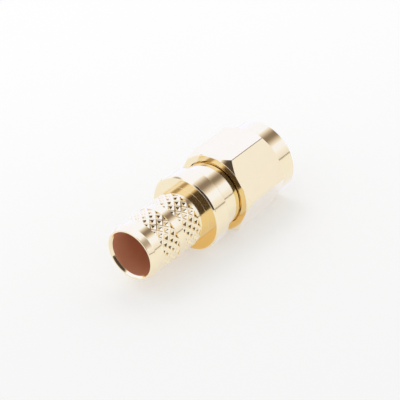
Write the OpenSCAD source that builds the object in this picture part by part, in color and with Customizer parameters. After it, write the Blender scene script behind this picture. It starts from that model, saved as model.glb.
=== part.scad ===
// Coaxial SMA plug for crimped cable: knurled crimp stem, flange, free-spinning hex
// coupling nut, and inside it the outer contact sleeve, insulators and centre contact.
// The axis lies along X, the mating end looks along +X, and a flat of the nut faces up.
// The origin is on the axis, at the front edge of the outer contact sleeve (reference plane).

/* [Crimp stem] */
// Length of the stem, from its open end to the flange
stem_len = 8; // [7.6:0.1:12]
// Diameter of the plain lands of the stem
stem_d = 5.7; // [5.5:0.05:6.4]
// Diameter of the cable bore
cable_bore_d = 4.56; // [4.4:0.04:4.72]
// Depth of the cable bore
cable_bore_depth = 8.4; // [7:0.1:9.5]
// Width of the flat rim round the open end
stem_rim = 0.1; // [0.05:0.01:0.2]
// Length of the chamfer at the open end
stem_chamfer = 0.3; // [0.2:0.05:0.6]

/* [Knurled bands] */
// Distance from the open end to the first band
knurl_start = 1.42; // [0.8:0.02:1.6]
// Distance between two pits in a line along the stem
knurl_pitch = 0.905; // [0.7:0.005:1]
// Length of each band, in half pitches
knurl_rows = 5; // [3:1:5]
// Length of the plain land between the bands, in half pitches
knurl_land = 2; // [1:1:3]
// Pits in a ring round the stem
knurl_count = 18; // [14:1:24]
// Turn of the first pit from the side of the stem, in degrees
knurl_turn = 1.6; // [0:0.2:20]
// Height of the ridges between the pits above the plain lands
knurl_rise = 0.03; // [0.01:0.01:0.06]
// Depth of the pits, from the top of the ridges
knurl_depth = 0.25; // [0.15:0.01:0.3]

/* [Flange and neck] */
// Diameter of the flange
flange_d = 8; // [7.6:0.1:10]
// Length of the flange
flange_len = 1.88; // [1.2:0.02:3]
// Chamfer on the rear edge of the flange
flange_chamfer = 0.16; // [0.1:0.02:0.3]
// Chamfer on the other turned edges
edge_chamfer = 0.07; // [0.04:0.01:0.1]
// Diameter of the neck that the nut turns on
neck_d = 6.84; // [6.8:0.02:6.9]
// Length of neck in view between the flange and the nut
neck_show = 2.56; // [1.5:0.02:4]

/* [Outer contact] */
// Outside diameter of the outer contact sleeve
sleeve_d = 4.59; // [4.55:0.01:4.62]
// Bore of the outer contact sleeve
sleeve_bore_d = 4.13; // [4.08:0.01:4.18]
// Length of the sleeve in front of the gasket seat
sleeve_len = 2; // [1.8:0.05:2.4]
// Diameter of the gasket seat
seat_d = 4.9; // [4.8:0.02:5.1]
// Length of the gasket seat
seat_len = 0.8; // [0.6:0.05:1]

/* [Gasket] */
// Outside diameter of the gasket
gasket_d = 6.2; // [5.8:0.05:6.6]
// Thickness of the gasket
gasket_t = 0.9; // [0.8:0.05:1]
// Chamfer on the gasket's edges
gasket_chamfer = 0.1; // [0.05:0.01:0.15]

/* [Retaining ring] */
// Thickness of the split ring along the axis
ring_t = 0.5; // [0.4:0.02:0.6]
// Outside diameter of the split ring
ring_d = 7.4; // [7.34:0.02:7.44]
// Radial width of the split ring
ring_w = 0.62; // [0.5:0.02:0.66]
// Angle of the ring's split, in degrees
ring_split = 40; // [20:5:70]

/* [Coupling nut] */
// Distance across the flats of the hexagon
nut_flats = 8; // [8:0.1:9.6]
// Length of the nut
nut_len = 8.16; // [7.9:0.02:9]
// How far the nut reaches past the reference plane
nut_reach = 3.2; // [3:0.05:3.6]
// Diameter of the round nose
nut_nose_d = 7.88; // [7.7:0.02:7.96]
// Diameter of the rear face, where the turned corners of the hexagon start
nut_face_d = 8.2; // [7.8:0.05:8.6]
// Length of the round nose
nut_nose_len = 2; // [1.4:0.1:2.6]
// Length of the lip behind the retaining ring
nut_lip = 0.66; // [0.5:0.02:0.8]
// Chamfer at the mouth of the rear bore
nut_rear_chamfer = 0.04; // [0.02:0.01:0.2]
// Major diameter of the 1/4-36 coupling thread
thread_d = 6.35; // [6.3:0.01:6.4]
// Length of the threaded bore, with its lead-in
thread_len = 4.6; // [4:0.1:4.8]
// Depth of the lead-in chamfer at the nut's mouth
thread_lead = 0.25; // [0.15:0.01:0.35]

/* [Insulators] */
// Diameter of the rear insulator and of the collar on the front one
bush_d = 4.2; // [4.18:0.02:4.24]
// Length of the front insulator
front_bush_len = 5.2; // [4.8:0.05:5.6]
// Length of the collar that stops the front insulator
collar_len = 0.8; // [0.5:0.05:1.2]

/* [Centre contact] */
// Diameter of the contact pin
pin_d = 0.93; // [0.9:0.01:0.94]
// Length of the pin in front of the reference plane
pin_len = 2.3; // [2:0.05:2.5]
// Length of the pin's rounded tip
pin_tip = 0.4; // [0.25:0.05:0.6]
// Diameter of the contact inside the front insulator
contact_d = 1.27; // [1.2:0.01:1.35]
// Diameter of the barrel that takes the cable's wire
barrel_d = 2; // [1.9:0.05:2.3]
// Diameter of the wire hole in the barrel
wire_hole_d = 1.5; // [1.2:0.05:1.6]
// Depth of the wire hole
wire_hole_depth = 2.4; // [1.6:0.1:2.8]
// Diameter of the collar between the insulators
stop_d = 2.6; // [2.4:0.05:3]
// Length of the collar between the insulators
stop_len = 0.6; // [0.4:0.05:0.9]

/* [Clearances] */
// Radial running clearance between the neck and the nut
run_gap = 0.08; // [0.04:0.01:0.1]
// Radial clearance of the retaining ring in each groove
ring_gap = 0.03; // [0.02:0.01:0.05]
// Side clearance of the retaining ring in the neck's groove
ring_side = 0.03; // [0.02:0.01:0.05]
// Axial play of the nut on the retaining ring
nut_play = 0.16; // [0.1:0.02:0.3]
// Radial clearance of each insulator and of the contact in it
bush_gap = 0.02; // [0.01:0.005:0.03]

/* [Hidden] */
$fn = 96;

gold = [0.91, 0.74, 0.42];
pale_gold = [0.93, 0.79, 0.50];

// Stations along the axis, from the reference plane backwards
seat_x = -sleeve_len;
shoulder_x = seat_x - seat_len;
nut_rear_x = nut_reach - nut_len;
flange_front_x = nut_rear_x - neck_show;
flange_rear_x = flange_front_x - flange_len;
stem_rear_x = flange_rear_x - stem_len;
bore_end_x = stem_rear_x + cable_bore_depth;
bush_split_x = -front_bush_len;
bush_step_x = bush_split_x + collar_len;
nut_groove_x = nut_rear_x + nut_lip;
ring_x = nut_groove_x + nut_play / 2;
nose_x = nut_reach - nut_nose_len;
thread_x = nut_reach - thread_len;

// Radii that follow from a mate and a clearance
neck_groove_r = ring_d / 2 - ring_w - ring_gap;
nut_groove_r = ring_d / 2 + ring_gap;
nut_bore_r = neck_d / 2 + run_gap;
nut_corner_r = nut_flats / 2 / cos(30);
knurl_step = knurl_pitch / 2;
ridge_r = stem_d / 2 + knurl_rise;
pit_r = ridge_r - knurl_depth;

// Each knurled ring is bedded this far into the stem's wall and the lands beside it
knurl_bed = 0.06;

// A turned solid or ring: profile is a closed list of [distance along X, radius]
module turned(profile) {
    rotate([0, 90, 0])
        rotate_extrude()
            polygon([for (p = profile) [p[1], p[0]]]);
}

// The half pitch at which each knurled band starts; both lie on one pattern
bands = [0, knurl_rows + knurl_land];
function band_x(row) = stem_rear_x + knurl_start + row * knurl_step;

// Ring of staggered four-sided pits with a net of ridges between them. Pits and ridge
// crossings alternate on a grid of half pitches along the band and two steps for each pit
// round it, and every grid cell is folded along the ridge that crosses it.
module knurl_ring(first) {
    start_x = band_x(first);
    end_x = band_x(first + knurl_rows);
    steps = 2 * knurl_count;
    bed_r = pit_r - 2 * knurl_bed;
    function odd(n) = n % 2;
    function ring_point(x, r, k) = let (a = knurl_turn + 360 * k / steps)
        [x, r * cos(a), r * sin(a)];
    function skin(j, k) = j * steps + k % steps;
    function bed(side, k) = (knurl_rows + 1 + side) * steps + k % steps;
    points = concat(
        [for (j = [0:knurl_rows], k = [0:steps - 1])
            ring_point(band_x(first + j), odd(first + j + k) ? pit_r : ridge_r, k)],
        [for (x = [start_x, end_x], k = [0:steps - 1]) ring_point(x, bed_r, k)]
    );
    facets = [for (j = [0:knurl_rows - 1], k = [0:steps - 1])
        let (a = skin(j, k), b = skin(j, k + 1), c = skin(j + 1, k + 1), d = skin(j + 1, k))
        each odd(first + j + k) ? [[a, d, b], [b, d, c]] : [[a, c, b], [a, d, c]]];
    hidden = [for (k = [0:steps - 1])
        each [
            [skin(0, k), bed(0, k + 1), bed(0, k)],
            [skin(0, k), skin(0, k + 1), bed(0, k + 1)],
            [skin(knurl_rows, k), bed(1, k + 1), skin(knurl_rows, k + 1)],
            [skin(knurl_rows, k), bed(1, k), bed(1, k + 1)],
            [bed(0, k), bed(1, k + 1), bed(1, k)],
            [bed(0, k), bed(0, k + 1), bed(1, k + 1)]
        ]];
    polyhedron(points, concat(facets, hidden), convexity = 6);
}

// The turned outline of the body, open end first, then back through its bore
function body_profile() = let (
    r = stem_d / 2,
    floor_r = pit_r - knurl_bed,
    mouth = cable_bore_d / 2 + stem_rim
) concat(
    [[stem_rear_x, mouth], [stem_rear_x + stem_chamfer, r]],
    [for (first = bands) let (a = band_x(first) + knurl_bed,
                              b = band_x(first + knurl_rows) - knurl_bed)
        each [[a, r], [a, floor_r], [b, floor_r], [b, r]]],
    [
        [flange_rear_x, r],
        [flange_rear_x, flange_d / 2 - flange_chamfer],
        [flange_rear_x + flange_chamfer, flange_d / 2],
        [flange_front_x - edge_chamfer, flange_d / 2],
        [flange_front_x, flange_d / 2 - edge_chamfer],
        [flange_front_x, neck_d / 2],
        [ring_x - ring_side, neck_d / 2],
        [ring_x - ring_side, neck_groove_r],
        [ring_x + ring_t + ring_side, neck_groove_r],
        [ring_x + ring_t + ring_side, neck_d / 2],
        [shoulder_x - edge_chamfer, neck_d / 2],
        [shoulder_x, neck_d / 2 - edge_chamfer],
        [shoulder_x, seat_d / 2],
        [seat_x, seat_d / 2],
        [seat_x, sleeve_d / 2],
        [-edge_chamfer, sleeve_d / 2],
        [0, sleeve_d / 2 - edge_chamfer],
        [0, sleeve_bore_d / 2],
        [bush_step_x, sleeve_bore_d / 2],
        [bush_step_x, bush_d / 2 + bush_gap],
        [bore_end_x, bush_d / 2 + bush_gap],
        [bore_end_x, cable_bore_d / 2],
        [stem_rear_x + stem_rim / 2, cable_bore_d / 2],
        [stem_rear_x, cable_bore_d / 2 + stem_rim / 2]
    ]
);

// One turned piece: crimp stem, flange, neck, gasket seat and outer contact sleeve
module connector_body() {
    color(gold)
        union() {
            turned(body_profile());
            for (first = bands) knurl_ring(first);
        }
}

// Hexagon with turned corners and a round nose
module nut_blank() {
    face_r = nut_face_d / 2;
    nose_r = nut_nose_d / 2;
    turned_r = nut_corner_r + edge_chamfer;
    shoulder_end = nose_x - turned_r + nose_r;
    intersection() {
        translate([nut_rear_x - 1, 0, 0])
            rotate([0, 90, 0])
                rotate([0, 0, 30])
                    cylinder(r = nut_corner_r, h = nose_x - nut_rear_x + 2, $fn = 6);
        turned([
            [nut_rear_x, 0], [nut_rear_x, face_r],
            [nut_rear_x + turned_r - face_r, turned_r],
            [shoulder_end, turned_r], [nose_x, nose_r], [nose_x, 0]
        ]);
    }
    turned([
        [shoulder_end, 0], [shoulder_end, nose_r], [nut_reach - 2 * edge_chamfer, nose_r],
        [nut_reach, nose_r - 2 * edge_chamfer], [nut_reach, 0]
    ]);
}

// The nut turns freely on the neck; its thread is cut inside the clear bore at the front
module coupling_nut() {
    over = 1;
    relief = nut_bore_r - thread_d / 2;
    color(pale_gold)
        difference() {
            nut_blank();
            turned([
                [nut_rear_x - over, 0],
                [nut_rear_x - over, nut_bore_r + nut_rear_chamfer + over],
                [nut_rear_x + nut_rear_chamfer, nut_bore_r],
                [nut_groove_x, nut_bore_r],
                [nut_groove_x, nut_groove_r],
                [nut_groove_x + ring_t + nut_play, nut_groove_r],
                [nut_groove_x + ring_t + nut_play, nut_bore_r],
                [thread_x - relief, nut_bore_r],
                [thread_x, thread_d / 2],
                [nut_reach - thread_lead, thread_d / 2],
                [nut_reach + over, thread_d / 2 + thread_lead + over],
                [nut_reach + over, 0]
            ]);
        }
}

// Split spring ring, half in the neck's groove and half in the nut's
module retaining_ring() {
    color("goldenrod")
        rotate([0, 90, 0])
            rotate_extrude(angle = 360 - ring_split, start = ring_split / 2)
                translate([ring_d / 2 - ring_w, ring_x])
                    square([ring_w, ring_t]);
}

// Silicone washer that the jack's rim presses on
module sealing_gasket() {
    inner_r = seat_d / 2 + bush_gap;
    outer_r = gasket_d / 2;
    front_x = shoulder_x + gasket_t;
    c = gasket_chamfer;
    color("tomato")
        turned([
            [shoulder_x, inner_r + c], [shoulder_x, outer_r - c], [shoulder_x + c, outer_r],
            [front_x - c, outer_r], [front_x, outer_r - c], [front_x, inner_r + c],
            [front_x - c, inner_r], [shoulder_x + c, inner_r]
        ]);
}

// Insulator in the sleeve, flush with the reference plane
module front_insulator() {
    color("white")
        turned([
            [bush_split_x, contact_d / 2 + bush_gap],
            [bush_split_x, bush_d / 2],
            [bush_step_x, bush_d / 2],
            [bush_step_x, sleeve_bore_d / 2 - bush_gap],
            [0, sleeve_bore_d / 2 - bush_gap],
            [0, contact_d / 2 + bush_gap]
        ]);
}

// Insulator behind it, which the cable's own insulation butts against
module rear_insulator() {
    pocket_x = bush_split_x - stop_len - bush_gap;
    color("whitesmoke")
        turned([
            [bore_end_x, barrel_d / 2 + bush_gap],
            [bore_end_x, bush_d / 2],
            [bush_split_x, bush_d / 2],
            [bush_split_x, stop_d / 2 + bush_gap],
            [pocket_x, stop_d / 2 + bush_gap],
            [pocket_x, barrel_d / 2 + bush_gap]
        ]);
}

// Pin, body and wire barrel in one; its collar is held between the insulators
module centre_contact() {
    pin_r = pin_d / 2;
    hole_r = wire_hole_d / 2;
    hole_x = bore_end_x + wire_hole_depth;
    color(pale_gold)
        turned([
            [bore_end_x, hole_r],
            [bore_end_x, barrel_d / 2],
            [bush_split_x - stop_len, barrel_d / 2],
            [bush_split_x - stop_len, stop_d / 2],
            [bush_split_x, stop_d / 2],
            [bush_split_x, contact_d / 2],
            [0, contact_d / 2],
            [0, pin_r],
            [pin_len - pin_tip, pin_r],
            [pin_len - pin_tip / 4, pin_r * 0.7],
            [pin_len, pin_r * 0.35],
            [pin_len, 0],
            [hole_x + hole_r / 2, 0],
            [hole_x, hole_r]
        ]);
}

connector_body();
coupling_nut();
retaining_ring();
sealing_gasket();
front_insulator();
rear_insulator();
centre_contact();
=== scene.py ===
import math
import bpy
from mathutils import Matrix, Vector


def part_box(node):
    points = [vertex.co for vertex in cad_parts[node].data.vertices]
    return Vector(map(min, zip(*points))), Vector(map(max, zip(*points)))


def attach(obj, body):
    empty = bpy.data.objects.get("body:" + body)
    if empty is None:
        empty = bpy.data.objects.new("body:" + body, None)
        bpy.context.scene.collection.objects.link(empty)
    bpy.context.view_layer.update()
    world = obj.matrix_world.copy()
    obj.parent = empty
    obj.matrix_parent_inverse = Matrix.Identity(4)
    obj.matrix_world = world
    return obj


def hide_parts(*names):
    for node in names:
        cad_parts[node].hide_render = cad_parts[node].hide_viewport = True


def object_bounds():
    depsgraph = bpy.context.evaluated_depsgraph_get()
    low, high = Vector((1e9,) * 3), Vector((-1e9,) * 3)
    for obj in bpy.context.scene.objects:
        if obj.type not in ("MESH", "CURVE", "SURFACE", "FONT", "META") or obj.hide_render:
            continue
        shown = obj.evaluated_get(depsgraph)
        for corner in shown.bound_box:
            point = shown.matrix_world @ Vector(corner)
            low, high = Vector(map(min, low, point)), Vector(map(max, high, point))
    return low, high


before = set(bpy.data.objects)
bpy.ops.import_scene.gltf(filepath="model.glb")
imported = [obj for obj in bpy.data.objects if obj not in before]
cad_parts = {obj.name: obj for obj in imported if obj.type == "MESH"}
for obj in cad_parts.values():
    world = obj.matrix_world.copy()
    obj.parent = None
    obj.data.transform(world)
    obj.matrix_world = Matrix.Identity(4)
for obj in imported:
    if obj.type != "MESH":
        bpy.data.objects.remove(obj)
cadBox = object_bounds()
mm = 0.001
mergeReach = 0.0005 * mm
bpy.context.scene.view_settings.view_transform = "Standard"


def span(node):
    # where a node starts and ends along the axis, in mm
    return [(corner / mm)[0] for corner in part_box(node)]


bodyRear = span("connector_body")[0]
nutRear, nutMouth = span("coupling_nut")
ringRear, ringFront = span("retaining_ring")
gasketRear, gasketFront = span("sealing_gasket")
collarRear = span("front_insulator")[0]
bushRear, bushFront = span("rear_insulator")
contactRear, contactTip = span("centre_contact")


def leaveEdit():
    bpy.ops.object.mode_set(mode="OBJECT")


def editAll():
    bpy.ops.object.mode_set(mode="EDIT")
    bpy.ops.mesh.select_all(action="SELECT")


def freshStart():
    if bpy.context.mode != "OBJECT":
        leaveEdit()
    bpy.ops.object.select_all(action="DESELECT")


def pick(piece):
    freshStart()
    piece.select_set(True)
    bpy.context.view_layer.objects.active = piece


def wireOutline(name, points):
    # draws a closed outline in the XZ plane, vertex by vertex; points are (x, radius) in mm
    freshStart()
    bpy.ops.mesh.primitive_plane_add(size=mm, location=(0, 0, 0))
    piece = bpy.context.object
    piece.name = name
    bpy.ops.object.mode_set(mode="EDIT")
    bpy.ops.mesh.select_mode(type="VERT")
    bpy.ops.mesh.select_all(action="SELECT")
    bpy.ops.mesh.merge(type="CENTER")
    x, r = points[0]
    bpy.ops.transform.translate(value=(x * mm, 0, r * mm))
    for nextX, nextR in (*points[1:], points[0]):
        step = ((nextX - x) * mm, 0, (nextR - r) * mm)
        bpy.ops.mesh.extrude_vertices_move(TRANSFORM_OT_translate={"value": step})
        x, r = nextX, nextR
    bpy.ops.mesh.select_all(action="SELECT")
    bpy.ops.mesh.remove_doubles(threshold=mergeReach)
    leaveEdit()
    return piece


def spinPiece(steps, angle):
    editAll()
    bpy.ops.mesh.spin(steps=steps, angle=angle, center=(0, 0, 0), axis=(1, 0, 0))
    bpy.ops.mesh.select_all(action="SELECT")
    bpy.ops.mesh.remove_doubles(threshold=mergeReach)
    bpy.ops.mesh.normals_make_consistent(inside=False)
    leaveEdit()


def closeEnds():
    editAll()
    bpy.ops.mesh.fill_holes(sides=0)
    bpy.ops.mesh.normals_make_consistent(inside=False)
    leaveEdit()


def applyAll(piece):
    pick(piece)
    for m in list(piece.modifiers):
        bpy.ops.object.modifier_apply(modifier=m.name)


def softenEdges(piece, width, angle):
    bevel = piece.modifiers.new("edgeBreak", "BEVEL")
    bevel.width = width * mm
    bevel.segments = 2
    bevel.limit_method = "ANGLE"
    bevel.angle_limit = math.radians(angle)
    bevel.use_clamp_overlap = False
    applyAll(piece)


def turnPiece(name, points, steps, edge, angle=2 * math.pi):
    piece = wireOutline(name, points)
    spinPiece(steps, angle)
    if edge:
        softenEdges(piece, edge, angle=20)
    return piece


def rescale(factor):
    bpy.ops.transform.resize(value=(factor, factor, factor), center_override=(0, 0, 0))
    bpy.ops.object.transform_apply(location=True, rotation=False, scale=True)


def finishShading(piece, angle):
    # the large faces keep their own normals; the areas only weigh well at a larger scale
    pick(piece)
    rescale(1 / mm)
    bpy.ops.object.shade_smooth_by_angle(angle=math.radians(angle))
    weighted = piece.modifiers.new("flatFaces", "WEIGHTED_NORMAL")
    weighted.keep_sharp = True
    weighted.weight = 100
    applyAll(piece)
    rescale(mm)


def handOver(piece, node, body, slot, *materials):
    for m in materials:
        piece.data.materials.append(m)
    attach(piece, body)
    if node:
        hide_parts(node)
    print("made", piece.name, len(piece.data.polygons), "faces")


def linkAll(tree, *pairs):
    for a, b in pairs:
        tree.links.new(a, b)


marks = {
    "ringScale": 9000, "ringDetail": 3, "stretchRound": 0.02, "ringRange": (0.3, 0.7),
    "cloudScale": 700, "cloudDetail": 4,
}


def turnedFinishGroup():
    # fine turning marks: rings along X, a little uneven round the axis
    group = bpy.data.node_groups.new("turnedFinish", "ShaderNodeTree")
    face = group.interface
    for name, kind in (("Tone", "NodeSocketColor"), ("Shade", "NodeSocketColor"),
                       ("Smooth", "NodeSocketFloat"), ("Rough", "NodeSocketFloat")):
        face.new_socket(name=name, in_out="INPUT", socket_type=kind)
    for name, kind in (("Color", "NodeSocketColor"), ("Roughness", "NodeSocketFloat"),
                       ("Height", "NodeSocketFloat")):
        face.new_socket(name=name, in_out="OUTPUT", socket_type=kind)
    into = group.nodes.new("NodeGroupInput")
    out = group.nodes.new("NodeGroupOutput")
    coord = group.nodes.new("ShaderNodeTexCoord")
    squeeze = group.nodes.new("ShaderNodeMapping")
    squeeze.inputs["Scale"].default_value = (1, marks["stretchRound"], marks["stretchRound"])
    rings = group.nodes.new("ShaderNodeTexNoise")
    rings.inputs["Scale"].default_value = marks["ringScale"]
    rings.inputs["Detail"].default_value = marks["ringDetail"]
    clouds = group.nodes.new("ShaderNodeTexNoise")
    clouds.inputs["Scale"].default_value = marks["cloudScale"]
    clouds.inputs["Detail"].default_value = marks["cloudDetail"]
    tint = group.nodes.new("ShaderNodeMix")
    tint.data_type = "RGBA"
    rough = group.nodes.new("ShaderNodeMapRange")
    rough.inputs["From Min"].default_value, rough.inputs["From Max"].default_value = marks["ringRange"]
    linkAll(group,
            (coord.outputs["Object"], squeeze.inputs["Vector"]),
            (squeeze.outputs["Vector"], rings.inputs["Vector"]),
            (coord.outputs["Object"], clouds.inputs["Vector"]),
            (clouds.outputs["Fac"], tint.inputs["Factor"]),
            (into.outputs["Tone"], tint.inputs["A"]),
            (into.outputs["Shade"], tint.inputs["B"]),
            (tint.outputs["Result"], out.inputs["Color"]),
            (rings.outputs["Fac"], rough.inputs["Value"]),
            (into.outputs["Smooth"], rough.inputs["To Min"]),
            (into.outputs["Rough"], rough.inputs["To Max"]),
            (rough.outputs["Result"], out.inputs["Roughness"]),
            (rings.outputs["Fac"], out.inputs["Height"]))
    return group


def platedMetal(name, tone, shade, smooth, rough, bumpHeight, metallic=1):
    mat = bpy.data.materials.new(name)
    mat.use_nodes = True
    tree = mat.node_tree
    bsdf = tree.nodes["Principled BSDF"]
    bsdf.inputs["Metallic"].default_value = metallic
    finish = tree.nodes.new("ShaderNodeGroup")
    finish.node_tree = turnedFinish
    finish.inputs["Tone"].default_value = (*tone, 1)
    finish.inputs["Shade"].default_value = (*shade, 1)
    finish.inputs["Smooth"].default_value = smooth
    finish.inputs["Rough"].default_value = rough
    bump = tree.nodes.new("ShaderNodeBump")
    bump.inputs["Distance"].default_value = bumpHeight * mm
    bump.inputs["Strength"].default_value = 1
    linkAll(tree,
            (finish.outputs["Color"], bsdf.inputs["Base Color"]),
            (finish.outputs["Roughness"], bsdf.inputs["Roughness"]),
            (finish.outputs["Height"], bump.inputs["Height"]),
            (bump.outputs["Normal"], bsdf.inputs["Normal"]))
    return mat


def plainSoft(name, tone, shade, roughness, grain, bumpHeight):
    mat = bpy.data.materials.new(name)
    mat.use_nodes = True
    tree = mat.node_tree
    bsdf = tree.nodes["Principled BSDF"]
    bsdf.inputs["Roughness"].default_value = roughness
    coord = tree.nodes.new("ShaderNodeTexCoord")
    noise = tree.nodes.new("ShaderNodeTexNoise")
    noise.inputs["Scale"].default_value = grain
    noise.inputs["Detail"].default_value = 5
    mix = tree.nodes.new("ShaderNodeMix")
    mix.data_type = "RGBA"
    mix.inputs["A"].default_value = (*tone, 1)
    mix.inputs["B"].default_value = (*shade, 1)
    bump = tree.nodes.new("ShaderNodeBump")
    bump.inputs["Distance"].default_value = bumpHeight * mm
    linkAll(tree,
            (coord.outputs["Object"], noise.inputs["Vector"]),
            (noise.outputs["Fac"], mix.inputs["Factor"]),
            (mix.outputs["Result"], bsdf.inputs["Base Color"]),
            (noise.outputs["Fac"], bump.inputs["Height"]),
            (bump.outputs["Normal"], bsdf.inputs["Normal"]))
    return mat


turnedFinish = turnedFinishGroup()
goldPlate = platedMetal("goldPlate", tone=(0.94, 0.75, 0.41), shade=(0.92, 0.72, 0.38),
                        smooth=0.06, rough=0.14, bumpHeight=0.0006)
# painted reflection and shade in the bore: a darker, redder, duller copy of the gold plate, for the gold
# mirroring itself deep inside
paintedBoreGold = platedMetal("paintedBoreGold", tone=(0.95, 0.56, 0.35), shade=(0.93, 0.53, 0.32),
                       smooth=0.35, rough=0.45, bumpHeight=0.002, metallic=0.6)
springBronze = platedMetal("springBronze", tone=(0.62, 0.40, 0.22), shade=(0.5, 0.32, 0.18),
                           smooth=0.2, rough=0.35, bumpHeight=0.001)
redSilicone = plainSoft("redSilicone", tone=(0.62, 0.07, 0.03), shade=(0.5, 0.05, 0.02),
                        roughness=0.55, grain=3000, bumpHeight=0.01)
waxyPtfe = plainSoft("waxyPtfe", tone=(0.86, 0.86, 0.84), shade=(0.8, 0.8, 0.78),
                     roughness=0.4, grain=2500, bumpHeight=0.005)


body = {
    "steps": 360, "edge": 0.03, "smooth": 30,
    "stemLength": 8.0, "stemRadius": 2.85, "boreRadius": 2.28, "boreDepth": 8.4, "boreSkin": 0.01,
    "rimReach": 0.22, "rimInner": 2.46, "rimOuter": 2.62, "rimInside": 0.03, "mouthChamfer": 0.4,
    "flangeRadius": 4.0, "flangeLength": 1.88, "flangeChamfer": 0.16, "edgeChamfer": 0.07,
    "neckRadius": 3.42, "reliefStart": 0.9, "reliefEnd": 0.45, "reliefDepth": 0.118,
    "grooveRadius": 3.05, "grooveSide": 0.03, "seatRadius": 2.45, "gasketProud": 0.1,
    "sleeveRadius": 2.295, "sleeveBore": 2.065, "bushBore": 2.12, "collarLength": 0.8,
}
knurl = {
    "bands": 2, "start": 1.42, "halfPitch": 0.4525, "halfRows": 5, "gapRows": 2, "around": 18,
    "phase": 11.6, "rowsPerHalf": 9, "slope": 0.85, "ridgeHalf": 0.09, "soft": 0.035, "lip": 0.006,
}
bandLength = knurl["halfRows"] * knurl["halfPitch"]


def knurlBands():
    step = bandLength + knurl["gapRows"] * knurl["halfPitch"]
    return [bodyRear + knurl["start"] + step * band for band in range(knurl["bands"])]


def knurlDepth(x, angle):
    # four-sided pits: distance from the nearest ridge line, softened at the ridge
    pitch = 2 * knurl["halfPitch"]
    turn = 360 / knurl["around"]
    along = (x - bodyRear - knurl["start"]) / pitch
    across = (angle - knurl["phase"]) / turn
    wide = math.radians(turn) * body["stemRadius"]
    lineGap = pitch * wide / math.hypot(pitch, wide)
    reach = min(0.5 - abs(w - round(w)) for w in (along + across, along - across)) * lineGap
    past = reach - knurl["ridgeHalf"]
    return knurl["slope"] * (past + math.hypot(past, knurl["soft"])) / 2


def bodyOutline():
    b = body
    stem, bore, flange, neck = b["stemRadius"], b["boreRadius"], b["flangeRadius"], b["neckRadius"]
    rim = bodyRear - b["rimReach"]
    flangeRear = bodyRear + b["stemLength"]
    flangeFront = flangeRear + b["flangeLength"]
    edge = b["edgeChamfer"]

    points = [(bodyRear + b["rimInside"], bore), (rim, b["rimInner"]), (rim, b["rimOuter"]),
              (bodyRear + b["mouthChamfer"], stem)]
    rows = knurl["halfRows"] * knurl["rowsPerHalf"]
    for start in knurlBands():
        inside = [start + bandLength * i / rows for i in range(1, rows)]
        rings = [start, start + knurl["lip"], *inside, start + bandLength - knurl["lip"], start + bandLength]
        points += [(x, stem) for x in rings]
    points += [(flangeRear, stem), (flangeRear, flange - b["flangeChamfer"]),
               (flangeRear + b["flangeChamfer"], flange), (flangeFront - edge, flange),
               (flangeFront, flange - edge), (flangeFront, neck)]

    # the neck falls away in a shallow cone towards the nut, and stays low a little way inside it
    low = neck - b["reliefDepth"]
    points += [(nutRear - b["reliefStart"], neck), (nutRear, low), (nutRear + b["reliefEnd"], low),
               (nutRear + b["reliefEnd"], neck)]
    grooveRear, grooveFront = ringRear - b["grooveSide"], ringFront + b["grooveSide"]
    points += [(grooveRear, neck), (grooveRear, b["grooveRadius"]), (grooveFront, b["grooveRadius"]),
               (grooveFront, neck), (gasketRear - edge, neck), (gasketRear, neck - edge)]

    seatFront = gasketFront - b["gasketProud"]
    collarFront = collarRear + b["collarLength"]
    boreFloor = bodyRear + b["boreDepth"]
    points += [(gasketRear, b["seatRadius"]), (seatFront, b["seatRadius"]), (seatFront, b["sleeveRadius"]),
               (-edge, b["sleeveRadius"]), (0, b["sleeveRadius"] - edge), (0, b["sleeveBore"]),
               (collarFront, b["sleeveBore"]), (collarFront, b["bushBore"]),
               (boreFloor, b["bushBore"]), (boreFloor, bore)]
    return points


def makeBody():
    piece = turnPiece("plugBody", bodyOutline(), body["steps"], body["edge"])
    midWall = (body["boreRadius"] + body["stemRadius"]) / 2
    margin = knurl["lip"] / 2
    for start in knurlBands():
        for v in piece.data.vertices:
            x, y, z = v.co / mm
            if start + margin < x < start + bandLength - margin and math.hypot(y, z) > midWall:
                angle = math.degrees(math.atan2(z, y))
                r = body["stemRadius"] - knurlDepth(x, angle)
                v.co.y = r * mm * math.cos(math.radians(angle))
                v.co.z = r * mm * math.sin(math.radians(angle))
    finishShading(piece, body["smooth"])
    handOver(piece, "connector_body", "plug", "gold_body", goldPlate, paintedBoreGold)
    # faces inside the bore take the painted, darker copy of the gold plate
    for p in piece.data.polygons:
        x, y, z = p.center / mm
        inBore = math.hypot(y, z) < body["boreRadius"] + body["boreSkin"]
        if inBore and x < bodyRear + body["boreDepth"]:
            p.material_index = 1


nut = {
    "steps": 192, "edge": 0.04, "smooth": 30, "flats": 8.0, "cornerRound": 0.08, "cornerSteps": 3,
    "faceRadius": 4.04, "noseRadius": 3.94, "noseLength": 2.0, "noseChamfer": 0.14,
    "lip": 0.66, "lipRadius": 3.43, "lipChamfer": 0.02, "groove": 0.66, "grooveRadius": 3.73,
    "boreRadius": 3.5, "threadRadius": 3.175, "threadLength": 4.6, "leadIn": 0.25,
    "pastCorners": 0.1, "pastEnds": 1, "sliver": 0.002,
}


def roundCorners(piece):
    bpy.ops.object.mode_set(mode="EDIT")
    bpy.ops.mesh.select_mode(type="EDGE")
    bpy.ops.mesh.select_all(action="DESELECT")
    leaveEdit()
    for e in piece.data.edges:
        a, b = (piece.data.vertices[i].co for i in e.vertices)
        e.select = abs((a - b).x) > mm
    bpy.ops.object.mode_set(mode="EDIT")
    bpy.ops.mesh.bevel(offset=nut["cornerRound"] * mm, segments=nut["cornerSteps"], affect="EDGES")
    bpy.ops.mesh.select_mode(type="VERT")
    leaveEdit()


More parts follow.
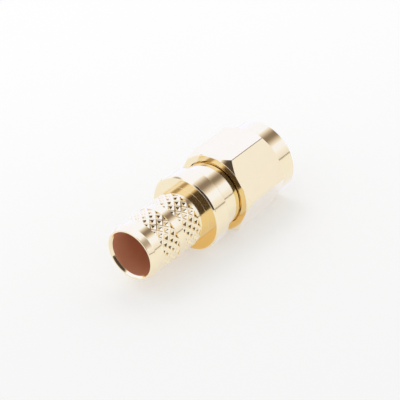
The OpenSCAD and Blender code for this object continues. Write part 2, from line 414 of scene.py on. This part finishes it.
def makeNut():
    # a hexagon bar with a flat up, turned to its outline and then bored
    n = nut
    rear, mouth, far = nutRear, nutMouth, n["pastEnds"]
    corner = n["flats"] / 2 / math.cos(math.radians(30))
    freshStart()
    bpy.ops.mesh.primitive_cylinder_add(vertices=6, radius=corner * mm, depth=(mouth - rear + 2 * far) * mm,
                                        location=((rear + mouth) / 2 * mm, 0, 0), rotation=(0, math.pi / 2, 0))
    piece = bpy.context.object
    piece.name = "couplingNut"
    bpy.ops.object.transform_apply(location=True, rotation=True, scale=True)
    roundCorners(piece)

    widest = corner + n["pastCorners"]
    nose = mouth - n["noseLength"]
    turned = turnPiece("nutTurned", [
        (rear, 0), (rear, n["faceRadius"] - n["edge"]), (rear + n["edge"], n["faceRadius"] + n["edge"]),
        (rear + widest - n["faceRadius"], widest), (nose - widest + n["noseRadius"], widest),
        (nose, n["noseRadius"]), (mouth - n["noseChamfer"], n["noseRadius"]),
        (mouth, n["noseRadius"] - n["noseChamfer"]), (mouth, 0),
    ], n["steps"], 0)
    grooveFront = rear + n["lip"] + n["groove"]
    threadStart = mouth - n["threadLength"]
    bore = turnPiece("nutBore", [
        (rear - far, 0), (rear - far, n["lipRadius"] + n["lipChamfer"] + far),
        (rear + n["lipChamfer"], n["lipRadius"]), (rear + n["lip"], n["lipRadius"]),
        (rear + n["lip"], n["grooveRadius"]), (grooveFront, n["grooveRadius"]),
        (grooveFront, n["boreRadius"]), (threadStart - n["boreRadius"] + n["threadRadius"], n["boreRadius"]),
        (threadStart, n["threadRadius"]), (mouth - n["leadIn"], n["threadRadius"]),
        (mouth + far, n["threadRadius"] + n["leadIn"] + far), (mouth + far, 0),
    ], n["steps"], 0)
    for tool, work in ((turned, "INTERSECT"), (bore, "DIFFERENCE")):
        cutter = piece.modifiers.new(work.lower(), "BOOLEAN")
        cutter.object = tool
        cutter.operation = work
        cutter.solver = "EXACT"
    applyAll(piece)
    bpy.data.objects.remove(turned)
    bpy.data.objects.remove(bore)
    editAll()
    bpy.ops.mesh.dissolve_degenerate(threshold=n["sliver"] * mm)
    leaveEdit()
    finishShading(piece, n["smooth"])
    handOver(piece, "coupling_nut", "nut", "gold_nut", goldPlate)


thread = {
    "pitch": 25.4 / 36, "depth": 0.33, "crest": 0.09, "footShare": 0.96, "bed": 0.03, "steps": 72,
    "smooth": 30,
}


def makeThread():
    # one V ridge wound along the bore, right-handed
    t = thread
    wall = nut["threadRadius"]
    first = nutMouth - nut["threadLength"] + t["pitch"] / 2
    foot = t["pitch"] / 2 * t["footShare"]
    crest = t["crest"] / 2
    piece = wireOutline("nutThread", [
        (first - foot, wall + t["bed"]), (first - foot, wall), (first - crest, wall - t["depth"]),
        (first + crest, wall - t["depth"]), (first + foot, wall), (first + foot, wall + t["bed"]),
    ])
    screw = piece.modifiers.new("winding", "SCREW")
    screw.axis = "X"
    screw.screw_offset = t["pitch"] * mm
    screw.iterations = int((nutMouth - nut["leadIn"] - first) / t["pitch"])
    screw.steps = t["steps"]
    screw.render_steps = t["steps"]
    applyAll(piece)
    closeEnds()
    finishShading(piece, t["smooth"])
    handOver(piece, None, "nut", "gold_nut", goldPlate)


ring = {
    "steps": 160, "edge": 0.04, "edgeAngle": 25, "smooth": 30, "inner": 3.08, "outer": 3.70,
    "split": 40, "splitAt": -90,
}


def makeRing():
    # spun short of a full turn and closed at both ends, then turned until the split is in its place
    r = ring
    piece = turnPiece("retainingRing", [
        (ringRear, r["inner"]), (ringRear, r["outer"]), (ringFront, r["outer"]), (ringFront, r["inner"]),
    ], r["steps"], 0, math.radians(360 - r["split"]))
    closeEnds()
    middle = sum((v.co for v in piece.data.vertices), Vector())
    turnTo = math.radians(r["splitAt"] + 180) - math.atan2(middle.z, middle.y)
    editAll()
    bpy.ops.transform.rotate(value=-turnTo, orient_axis="X", center_override=(0, 0, 0))
    leaveEdit()
    softenEdges(piece, r["edge"], r["edgeAngle"])
    finishShading(piece, r["smooth"])
    handOver(piece, "retaining_ring", "plug", "spring_bronze", springBronze)


gasket = {"steps": 128, "edge": 0.1, "smooth": 40, "inner": 2.47, "outer": 3.1}


def makeGasket():
    g = gasket
    piece = turnPiece("sealingGasket", [
        (gasketRear, g["inner"]), (gasketRear, g["outer"]), (gasketFront, g["outer"]),
        (gasketFront, g["inner"]),
    ], g["steps"], g["edge"])
    finishShading(piece, g["smooth"])
    handOver(piece, "sealing_gasket", "plug", "silicone", redSilicone)


insulator = {
    "steps": 128, "edge": 0.03, "smooth": 35, "bushRadius": 2.1, "sleeveFit": 2.045,
    "contactHole": 0.655, "barrelHole": 1.02, "stopPocket": 1.32, "pocketDepth": 0.62,
}


def makeInsulators():
    n = insulator
    step = collarRear + body["collarLength"]
    piece = turnPiece("frontInsulator", [
        (collarRear, n["contactHole"]), (collarRear, n["bushRadius"]), (step, n["bushRadius"]),
        (step, n["sleeveFit"]), (0, n["sleeveFit"]), (0, n["contactHole"]),
    ], n["steps"], n["edge"])
    finishShading(piece, n["smooth"])
    handOver(piece, "front_insulator", "plug", "ptfe", waxyPtfe)
    pocket = collarRear - n["pocketDepth"]
    piece = turnPiece("rearInsulator", [
        (bushRear, n["barrelHole"]), (bushRear, n["bushRadius"]), (bushFront, n["bushRadius"]),
        (bushFront, n["stopPocket"]), (pocket, n["stopPocket"]), (pocket, n["barrelHole"]),
    ], n["steps"], n["edge"])
    finishShading(piece, n["smooth"])
    handOver(piece, "rear_insulator", "plug", "ptfe", waxyPtfe)


contact = {
    "steps": 96, "edge": 0.02, "smooth": 35, "barrelRadius": 1.0, "wireHole": 0.75, "wireDepth": 2.4,
    "drillPoint": 0.4, "stopRadius": 1.3, "stopLength": 0.6, "shankRadius": 0.635, "pinRadius": 0.465,
    "tipLength": 0.4, "tipRadius": 0.12, "tipSteps": 6,
}


def makeContact():
    c = contact
    stopRear = collarRear - c["stopLength"]
    holeEnd = contactRear + c["wireDepth"]
    points = [
        (contactRear, c["wireHole"]), (contactRear, c["barrelRadius"]), (stopRear, c["barrelRadius"]),
        (stopRear, c["stopRadius"]), (collarRear, c["stopRadius"]), (collarRear, c["shankRadius"]),
        (0, c["shankRadius"]), (0, c["pinRadius"]),
    ]
    for i in range(c["tipSteps"] + 1):
        a = math.pi / 2 * i / c["tipSteps"]
        points.append((contactTip - c["tipLength"] * (1 - math.sin(a)),
                       c["tipRadius"] + (c["pinRadius"] - c["tipRadius"]) * math.cos(a)))
    points += [(contactTip, 0), (holeEnd + c["drillPoint"], 0), (holeEnd, c["wireHole"])]
    piece = turnPiece("centreContact", points, c["steps"], c["edge"])
    finishShading(piece, c["smooth"])
    handOver(piece, "centre_contact", "plug", "gold_contact", goldPlate)


def mixColor(tree, factor, first, second):
    mix = tree.nodes.new("ShaderNodeMix")
    mix.data_type = "RGBA"
    tree.links.new(factor, mix.inputs["Factor"])
    for name, value in (("A", first), ("B", second)):
        if isinstance(value, tuple):
            mix.inputs[name].default_value = (*value, 1)
        else:
            tree.links.new(value, mix.inputs[name])
    return mix.outputs["Result"]


def scaled(tree, color, factor):
    node = tree.nodes.new("ShaderNodeVectorMath")
    node.operation = "SCALE"
    node.inputs["Scale"].default_value = factor
    tree.links.new(color, node.inputs[0])
    return node.outputs["Vector"]


def dotWith(tree, vector, direction):
    node = tree.nodes.new("ShaderNodeVectorMath")
    node.operation = "DOT_PRODUCT"
    tree.links.new(vector, node.inputs[0])
    node.inputs[1].default_value = Vector(direction).normalized()
    return node.outputs["Value"]


def softStep(tree, value, low, high, toLow, toHigh):
    node = tree.nodes.new("ShaderNodeMapRange")
    node.interpolation_type = "SMOOTHSTEP"
    for name, number in (("From Min", low), ("From Max", high), ("To Min", toLow), ("To Max", toHigh)):
        node.inputs[name].default_value = number
    tree.links.new(value, node.inputs["Value"])
    return node.outputs["Result"]


def combine(tree, operation, first, second=None):
    node = tree.nodes.new("ShaderNodeMath")
    node.operation = operation
    for socket, value in zip(node.inputs, (first, second)):
        if isinstance(value, (int, float)):
            socket.default_value = value
        elif value is not None:
            tree.links.new(value, socket)
    return node.outputs[0]


def product(tree, first, *others):
    for other in others:
        first = combine(tree, "MULTIPLY", first, other)
    return first


def raised(tree, factor, amount):
    # leaves 'factor' where amount is 1 and goes to 1 where it is 0
    return combine(tree, "ADD", product(tree, factor, amount), combine(tree, "SUBTRACT", 1, amount))


def darkSpot(tree, vector, toward, inner, outer, level):
    # 'level' inside the inner angle, 1 outside the outer one
    return softStep(tree, dotWith(tree, vector, toward), math.cos(math.radians(outer)),
                    math.cos(math.radians(inner)), 1, level)


alongX, alongY, alongZ = (1, 0, 0), (0, 1, 0), (0, 0, 1)
camera = {
    "spot": (-101.24, -84.19, 76.77), "lookAlong": (0.638, 0.570, -0.518),
    "imageRight": (0.615, -0.782, -0.102), "lens": 137.25, "sensor": 36, "nearest": 0.01,
}


def addCamera():
    look = Vector(camera["lookAlong"]).normalized()
    right = Vector(camera["imageRight"])
    right = (right - look * right.dot(look)).normalized()
    turn = Matrix((right, right.cross(look), -look)).transposed().to_4x4()
    freshStart()
    bpy.ops.object.camera_add()
    cam = bpy.context.object
    cam.name = "studioCamera"
    cam.data.lens = camera["lens"]
    cam.data.sensor_width = camera["sensor"]
    cam.data.clip_start = camera["nearest"]
    cam.matrix_world = Matrix.Translation(Vector(camera["spot"]) * mm) @ turn
    bpy.context.scene.camera = cam


# glow: how brightly the paper shines by itself, from low to high across the fade (metres)
# the painted shade: a warm shadow painted beneath the part, shown only in the metal's reflections, in mm
# across the axis and forward from its rear end; only what looks backward sees all of it
paper = {
    "size": 1.6, "tone": 0.62, "roughness": 0.9,
    "glow": (0.385, 0.425), "glowToward": (0.75, 0.66, 0), "glowFade": (-0.04, 0.05),
    "paintedReflectionTone": (1.00, 1.12, 1.52), "paintedShadeTone": (0.97, 0.79, 0.48), "mirrorShare": (0.55, 0.50),
    "paintedShadeAcross": (-2.4, -1.2, 3.0, 8.0), "paintedShadeRear": (-1.0, 1.0), "paintedShadeFacing": (-0.3, 0.3),
    "paintedShadeLeast": 0.3,
}


def addFloor():
    # plain to the eye; mirrored in the metal it is a painted reflection, brighter and bluer, with a painted
    # warm shadow beneath the part
    freshStart()
    bpy.ops.mesh.primitive_plane_add(size=paper["size"], location=(0, 0, cadBox[0][2]))
    floor = bpy.context.object
    floor.name = "paleFloor"
    mat = bpy.data.materials.new("palePaper")
    mat.use_nodes = True
    tree = mat.node_tree
    bsdf = tree.nodes["Principled BSDF"]
    bsdf.inputs["Roughness"].default_value = paper["roughness"]
    bsdf.inputs["Specular IOR Level"].default_value = 0
    bsdf.inputs["Emission Strength"].default_value = 1
    mirrored = tree.nodes.new("ShaderNodeLightPath").outputs["Is Glossy Ray"]
    place = tree.nodes.new("ShaderNodeTexCoord").outputs["Object"]
    backward = dotWith(tree, tree.nodes.new("ShaderNodeNewGeometry").outputs["Incoming"], alongX)
    across = dotWith(tree, place, alongY)
    rise, full, fall, end = (edge * mm for edge in paper["paintedShadeAcross"])
    rearStart, rearFull = ((bodyRear + edge) * mm for edge in paper["paintedShadeRear"])
    # painted warm shadow in the floor's reflection, where the metal mirrors the floor beneath the part
    paintedShadeMask = product(tree,
                    softStep(tree, across, rise, full, 0, 1),
                    softStep(tree, across, fall, end, 1, 0),
                    softStep(tree, backward, *paper["paintedShadeFacing"], paper["paintedShadeLeast"], 1),
                    softStep(tree, dotWith(tree, place, alongX), rearStart, rearFull, 0, 1))
    # the floor as the metal mirrors it: a painted reflection tone with the painted shadow mixed in
    paintedReflection = mixColor(tree, paintedShadeMask, paper["paintedReflectionTone"], paper["paintedShadeTone"])
    glow = softStep(tree, dotWith(tree, place, paper["glowToward"]), *paper["glowFade"], *paper["glow"])
    plainTone = (paper["tone"],) * 3
    color, shine = (mixColor(tree, mirrored, plain, scaled(tree, paintedReflection, share))
                    for plain, share in zip((plainTone, glow), paper["mirrorShare"]))
    tree.links.new(color, bsdf.inputs["Base Color"])
    tree.links.new(shine, bsdf.inputs["Emission Color"])
    floor.data.materials.append(mat)


# card, patch, stripe, line and wall darken the white tent where the metal mirrors them: directions,
# angles in degrees, and otherwise sines of the height or of the angle off a plane
tent = {
    "cardToward": (-0.638, -0.570, 0.518), "cardInner": 29, "cardOuter": 43, "cardLevel": 0.05,
    "patchToward": (-0.550, 0.700, 0.456), "patchInner": 5, "patchOuter": 15, "patchLevel": 0.45,
    "stripeAcross": (0, 0.962, 0.275), "stripeShift": 0.01, "stripeHalf": (0.03, 0.36),
    "stripeLevel": 0.28, "stripeFront": (0.15, 0.45), "stripeHeight": (0.2, 0.4),
    "lineHeight": 0.012, "lineHalf": (0.012, 0.045), "lineLevel": 0.35,
    "wallHeight": (0.05, 0.4), "wallLevel": (0.93, 0.99), "nearSide": (-0.3, -0.1),
    "response": ((0.0, (0.035, 0.030, 0.040)), (0.30, (0.30, 0.265, 0.29)), (0.65, (0.65, 0.63, 0.76)),
                 (0.92, (0.93, 1.00, 1.36)), (0.97, (0.99, 1.12, 1.62)), (1.0, (1.03, 1.25, 2.20))),
    "mirrored": 2.2, "filling": 0.78, "behind": 0.97,
}


def tentLevel(tree):
    t = tent
    vector = tree.nodes.new("ShaderNodeTexCoord").outputs["Generated"]
    front, side, up = (dotWith(tree, vector, axis) for axis in (alongX, alongY, alongZ))
    nearSide = softStep(tree, side, *t["nearSide"], 1, 0)
    card = darkSpot(tree, vector, t["cardToward"], t["cardInner"], t["cardOuter"], t["cardLevel"])
    patch = darkSpot(tree, vector, t["patchToward"], t["patchInner"], t["patchOuter"], t["patchLevel"])
    offPlane = combine(tree, "ADD", dotWith(tree, vector, t["stripeAcross"]), t["stripeShift"])
    offPlane = combine(tree, "ABSOLUTE", offPlane)
    stripePlace = product(tree, softStep(tree, front, *t["stripeFront"], 0, 1),
                          softStep(tree, up, *t["stripeHeight"], 0, 1))
    stripe = raised(tree, softStep(tree, offPlane, *t["stripeHalf"], t["stripeLevel"], 1), stripePlace)
    offLine = combine(tree, "ABSOLUTE", combine(tree, "SUBTRACT", up, t["lineHeight"]))
    line = raised(tree, softStep(tree, offLine, *t["lineHalf"], t["lineLevel"], 1), nearSide)
    wall = raised(tree, softStep(tree, up, *t["wallHeight"], *t["wallLevel"]), nearSide)
    return product(tree, card, patch, stripe, line, wall)


def responseCurve(tree, level):
    # the stops sort themselves as they move, so the colours follow once all are in place
    curve = tree.nodes.new("ShaderNodeValToRGB")
    stops = curve.color_ramp.elements
    places, tones = zip(*tent["response"])
    for _ in places[2:]:
        stops.new(0.5)
    for stop, place in zip(stops, places):
        stop.position = place
    for stop, tone in zip(stops, tones):
        stop.color = (*(c / tent["mirrored"] for c in tone), 1)
    tree.links.new(level, curve.inputs["Fac"])
    return curve.outputs["Color"]


def addWorld():
    world = bpy.data.worlds.new("whiteTent")
    bpy.context.scene.world = world
    world.use_nodes = True
    tree = world.node_tree
    tree.nodes.clear()
    shades = []
    for use in ("mirrored", "filling", "behind"):
        shade = tree.nodes.new("ShaderNodeBackground")
        shade.inputs["Color"].default_value = (1, 1, 1, 1)
        shade.inputs["Strength"].default_value = tent[use]
        shades.append(shade)
    mirrored, surface, behind = shades
    tree.links.new(responseCurve(tree, tentLevel(tree)), mirrored.inputs["Color"])
    path = tree.nodes.new("ShaderNodeLightPath")
    for ray, other in (("Is Glossy Ray", mirrored), ("Is Camera Ray", behind)):
        mix = tree.nodes.new("ShaderNodeMixShader")
        linkAll(tree, (path.outputs[ray], mix.inputs[0]), (surface.outputs[0], mix.inputs[1]),
                (other.outputs[0], mix.inputs[2]))
        surface = mix
    tree.links.new(surface.outputs[0], tree.nodes.new("ShaderNodeOutputWorld").inputs["Surface"])


lamp = {"spot": (30, 90, 180), "size": 160, "energy": 0.06}


def addLamp():
    freshStart()
    bpy.ops.object.light_add(type="AREA", location=Vector(lamp["spot"]) * mm)
    disk = bpy.context.object
    disk.data.shape = "DISK"
    disk.data.size = lamp["size"] * mm
    disk.data.energy = lamp["energy"]
    disk.visible_glossy = False
    disk.rotation_euler = (-disk.location).to_track_quat("-Z", "Y").to_euler()


addCamera()
addFloor()
addWorld()
addLamp()
print("studio is set")
makeBody()
makeNut()
makeThread()
makeRing()
makeGasket()
makeInsulators()
makeContact()
print("pieces are made")
